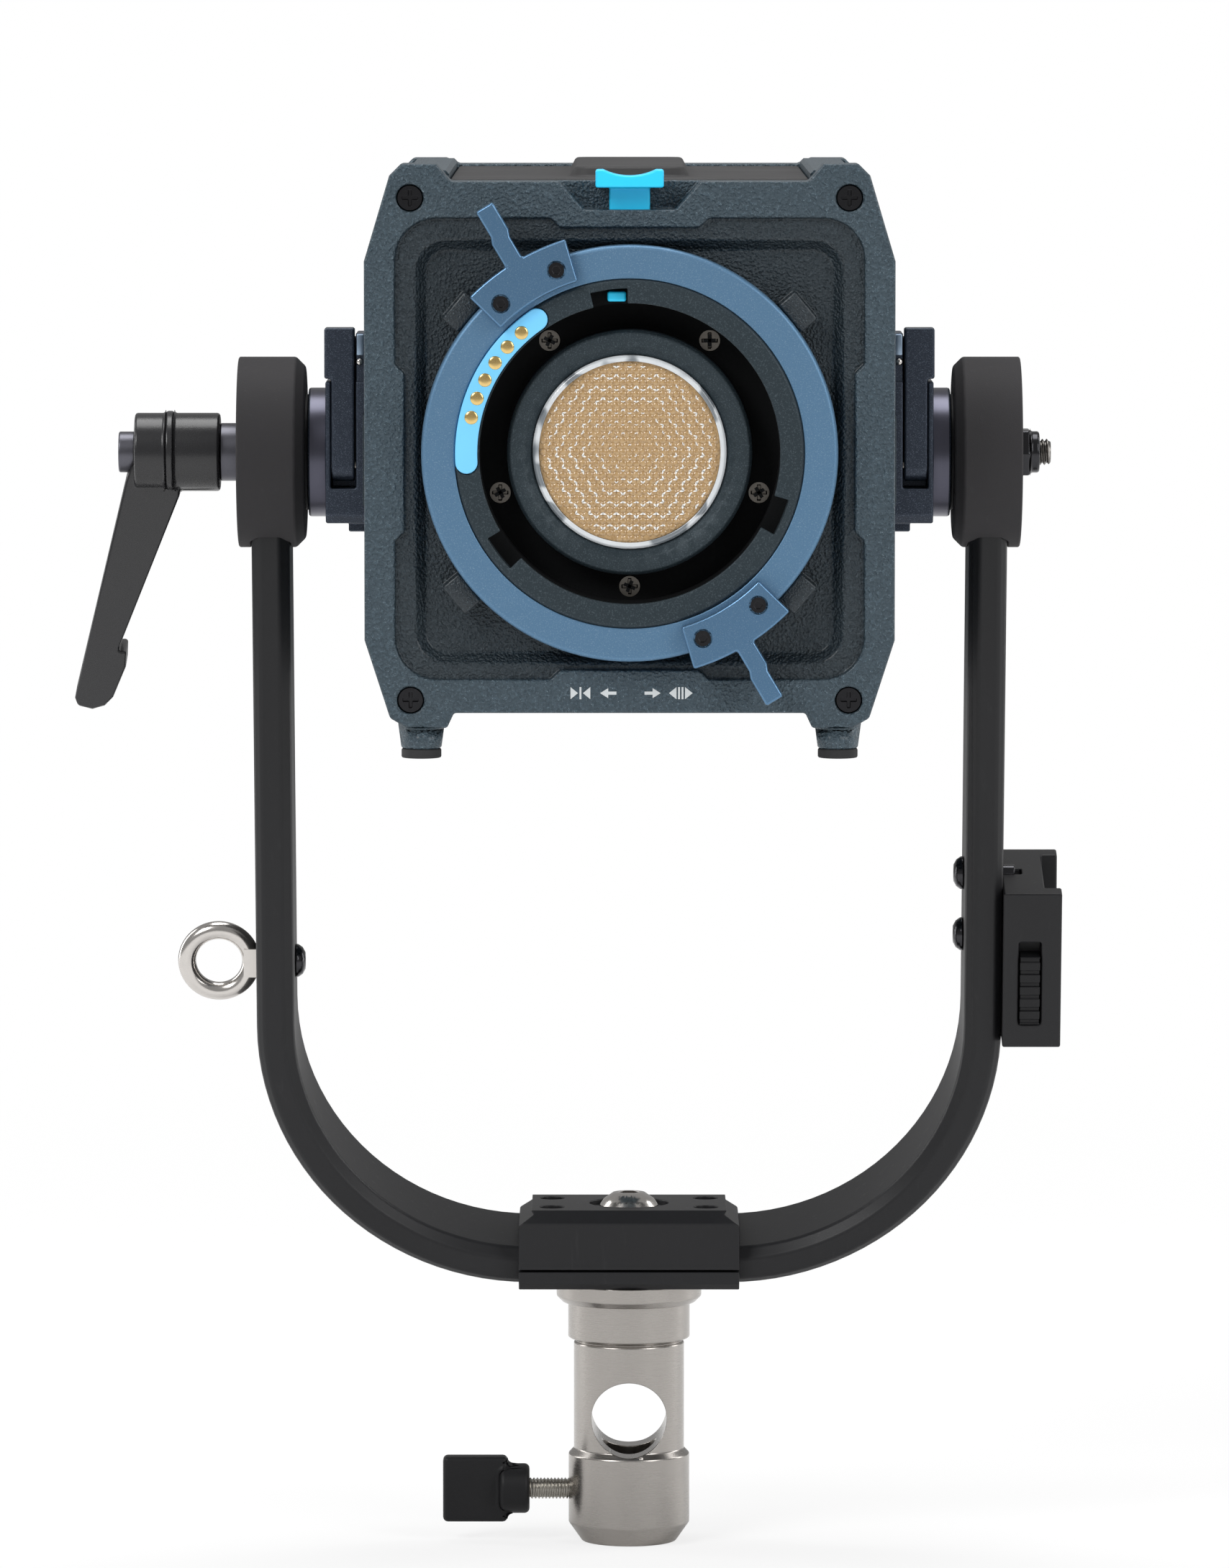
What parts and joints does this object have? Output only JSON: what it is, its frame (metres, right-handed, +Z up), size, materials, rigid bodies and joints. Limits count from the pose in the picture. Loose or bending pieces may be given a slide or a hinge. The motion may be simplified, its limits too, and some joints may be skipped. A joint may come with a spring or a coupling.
{
  "type": "studio spotlight head",
  "caption": "Compact LED studio spotlight head with a rotating accessory lock ring, carried in a U yoke with clamp lever, battery plate and stand socket.",
  "frame": {"origin": "centre of the stand socket's mouth, on the bottom face of the receiver", "axes": "+Z up along the stand, -Y the way the lamp shines, +X to the right seen from the front"},
  "size_m": [0.2919, 0.2152, 0.4177],
  "materials": {
    "housing_paint": "textured metallic blue-grey paint",
    "ring_blue": "blue anodised",
    "dark_anodised": "dark blue-grey anodised",
    "bracket_metal": "satin grey-blue metallic",
    "black_metal": "fine matt black powder coat",
    "hub_grey": "matt charcoal moulding",
    "steel": "turned stainless steel",
    "polished_steel": "polished stainless steel",
    "black_steel": "black oxide",
    "black_plastic": "moulded black",
    "grey_plastic": "moulded grey",
    "sky_plastic": "sky blue",
    "latch_blue": "bright blue",
    "gold": "gold plated",
    "clear": "clear optical",
    "phosphor": "amber phosphor",
    "copper": "bare copper",
    "raw_aluminium": "extruded",
    "board_green": "solder mask",
    "screen": "dark cover glass",
    "rubber": "soft black"
  },
  "bodies": {
    "yoke": {"yoke_bar": "black_metal", "hubs": "hub_grey", "base_block": "black_metal", "base_plate": "black_metal", "base_screws": "black_steel", "base_bolt": "polished_steel", "stand_receiver": "steel", "eyebolt": "polished_steel", "eyebolt_screw": "black_steel", "battery_plate": "black_metal", "battery_plate_screws": "black_steel", "pivot_bolt": "black_steel", "pivot_nut": "black_steel", "friction_washers": "steel"},
    "battery_release": {"battery_release": "black_plastic"},
    "stand_screw": {"stand_screw": "steel"},
    "stand_screw_knob": {"stand_screw_knob": "black_plastic"},
    "clamp_stud": {"clamp_stud": "black_steel"},
    "clamp_handle": {"clamp_handle": "black_metal"},
    "cradle": {"bracket_left": "bracket_metal", "bracket_right": "bracket_metal", "latch_pins": "steel"},
    "latch_left": {"latch_left": "bracket_metal"},
    "latch_right": {"latch_right": "bracket_metal"},
    "head": {"side_rails": "dark_anodised", "rail_screws": "steel", "front_frame": "housing_paint", "housing": "housing_paint", "top_cover": "grey_plastic", "rear_frame": "housing_paint", "rear_panel": "black_plastic", "feet": "rubber", "frame_screws": "black_steel", "bayonet_ring": "dark_anodised", "contact_strip": "sky_plastic", "optic_cup": "dark_anodised", "optic_collar": "dark_anodised", "optic_screws": "steel", "lens_rim": "clear", "lens_array": "clear", "led_emitter": "phosphor", "cooling_plate": "copper", "heatsink": "raw_aluminium", "fan_frame": "black_plastic", "driver_board": "board_green", "display_window": "screen", "power_inlet": "black_steel"},
    "lock_ring": {"lock_ring": "ring_blue", "lock_levers": "ring_blue", "lock_lever_screws": "black_steel"},
    "contact_pins": {"contact_pins": "gold"},
    "release_latch": {"release_latch": "latch_blue"},
    "fan_rotor": {"fan_rotor": "black_plastic"},
    "brightness_knob": {"brightness_knob": "grey_plastic"},
    "colour_knob": {"colour_knob": "grey_plastic"},
    "mode_button": {"mode_button": "grey_plastic"},
    "menu_button": {"menu_button": "grey_plastic"},
    "back_button": {"back_button": "grey_plastic"},
    "power_rocker": {"power_rocker": "black_plastic"}
  },
  "joints": [
    {"name": "head_tilt", "type": "hinge", "parent": "yoke", "child": "cradle", "pos_m": [0, -0.05378, 0.33151], "axis": [1, 0, 0], "range_deg": [-135, 135]},
    {"name": "head_balance", "type": "slide", "parent": "cradle", "child": "head", "axis": [0, 1, 0], "range_m": [-0.025, 0.025]},
    {"name": "latch_left_open", "type": "hinge", "parent": "cradle", "child": "latch_left", "pos_m": [0, -0.07529, 0.32861], "axis": [1, 0, 0], "range_deg": [0, 75]},
    {"name": "latch_right_open", "type": "hinge", "parent": "cradle", "child": "latch_right", "pos_m": [0, -0.07529, 0.32861], "axis": [1, 0, 0], "range_deg": [0, 75]},
    {"name": "lock_ring_turn", "type": "hinge", "parent": "head", "child": "lock_ring", "pos_m": [0, -0.12498, 0.33491], "axis": [0, 1, 0], "range_deg": [0, 28]},
    {"name": "release_latch_lift", "type": "slide", "parent": "head", "child": "release_latch", "axis": [0, 0, 1], "range_m": [0, 0.002], "stiffness_N_per_m": 800, "springref_m": -0.002},
    {"name": "contact_pins_press", "type": "slide", "parent": "head", "child": "contact_pins", "axis": [0, 1, 0], "range_m": [0, 0.0012], "stiffness_N_per_m": 600, "springref_m": -0.001},
    {"name": "clamp_turn", "type": "hinge", "parent": "yoke", "child": "clamp_stud", "pos_m": [0, -0.05378, 0.33151], "axis": [1, 0, 0], "range_deg": [-90, 90]},
    {"name": "clamp_lift", "type": "slide", "parent": "clamp_stud", "child": "clamp_handle", "axis": [-1, 0, 0], "range_m": [0, 0.004], "stiffness_N_per_m": 1000, "springref_m": -0.003},
    {"name": "stand_screw_slide", "type": "slide", "parent": "yoke", "child": "stand_screw", "axis": [-1, 0, 0], "range_m": [0, 0.0038]},
    {"name": "stand_screw_turn", "type": "hinge", "parent": "stand_screw", "child": "stand_screw_knob", "pos_m": [0, 0, 0.0156], "axis": [-1, 0, 0], "range_deg": [0, 1080]},
    {"name": "battery_release_slide", "type": "slide", "parent": "yoke", "child": "battery_release", "axis": [0, -0.2164, 0.9763], "range_m": [0, 0.004], "stiffness_N_per_m": 400, "springref_m": -0.002},
    {"name": "fan_spin", "type": "hinge", "parent": "head", "child": "fan_rotor", "pos_m": [0, -0.01499, 0.33491], "axis": [0, 1, 0], "continuous": true},
    {"name": "brightness_turn", "type": "hinge", "parent": "head", "child": "brightness_knob", "pos_m": [0.038, 0.06502, 0.32091], "axis": [0, 1, 0], "continuous": true},
    {"name": "colour_turn", "type": "hinge", "parent": "head", "child": "colour_knob", "pos_m": [-0.038, 0.06502, 0.32091], "axis": [0, 1, 0], "continuous": true},
    {"name": "mode_press", "type": "slide", "parent": "head", "child": "mode_button", "axis": [0, -1, 0], "range_m": [0, 0.001], "stiffness_N_per_m": 600, "springref_m": -0.001},
    {"name": "menu_press", "type": "slide", "parent": "head", "child": "menu_button", "axis": [0, -1, 0], "range_m": [0, 0.001], "stiffness_N_per_m": 600, "springref_m": -0.001},
    {"name": "back_press", "type": "slide", "parent": "head", "child": "back_button", "axis": [0, -1, 0], "range_m": [0, 0.001], "stiffness_N_per_m": 600, "springref_m": -0.001},
    {"name": "power_rocker_tilt", "type": "hinge", "parent": "head", "child": "power_rocker", "pos_m": [-0.034, 0.06202, 0.28691], "axis": [1, 0, 0], "range_deg": [-8, 8]}
  ],
  "couplings": [
    {"joint": "stand_screw_turn", "follows": "stand_screw_slide", "rad_per_m": 4947.4}
  ]
}
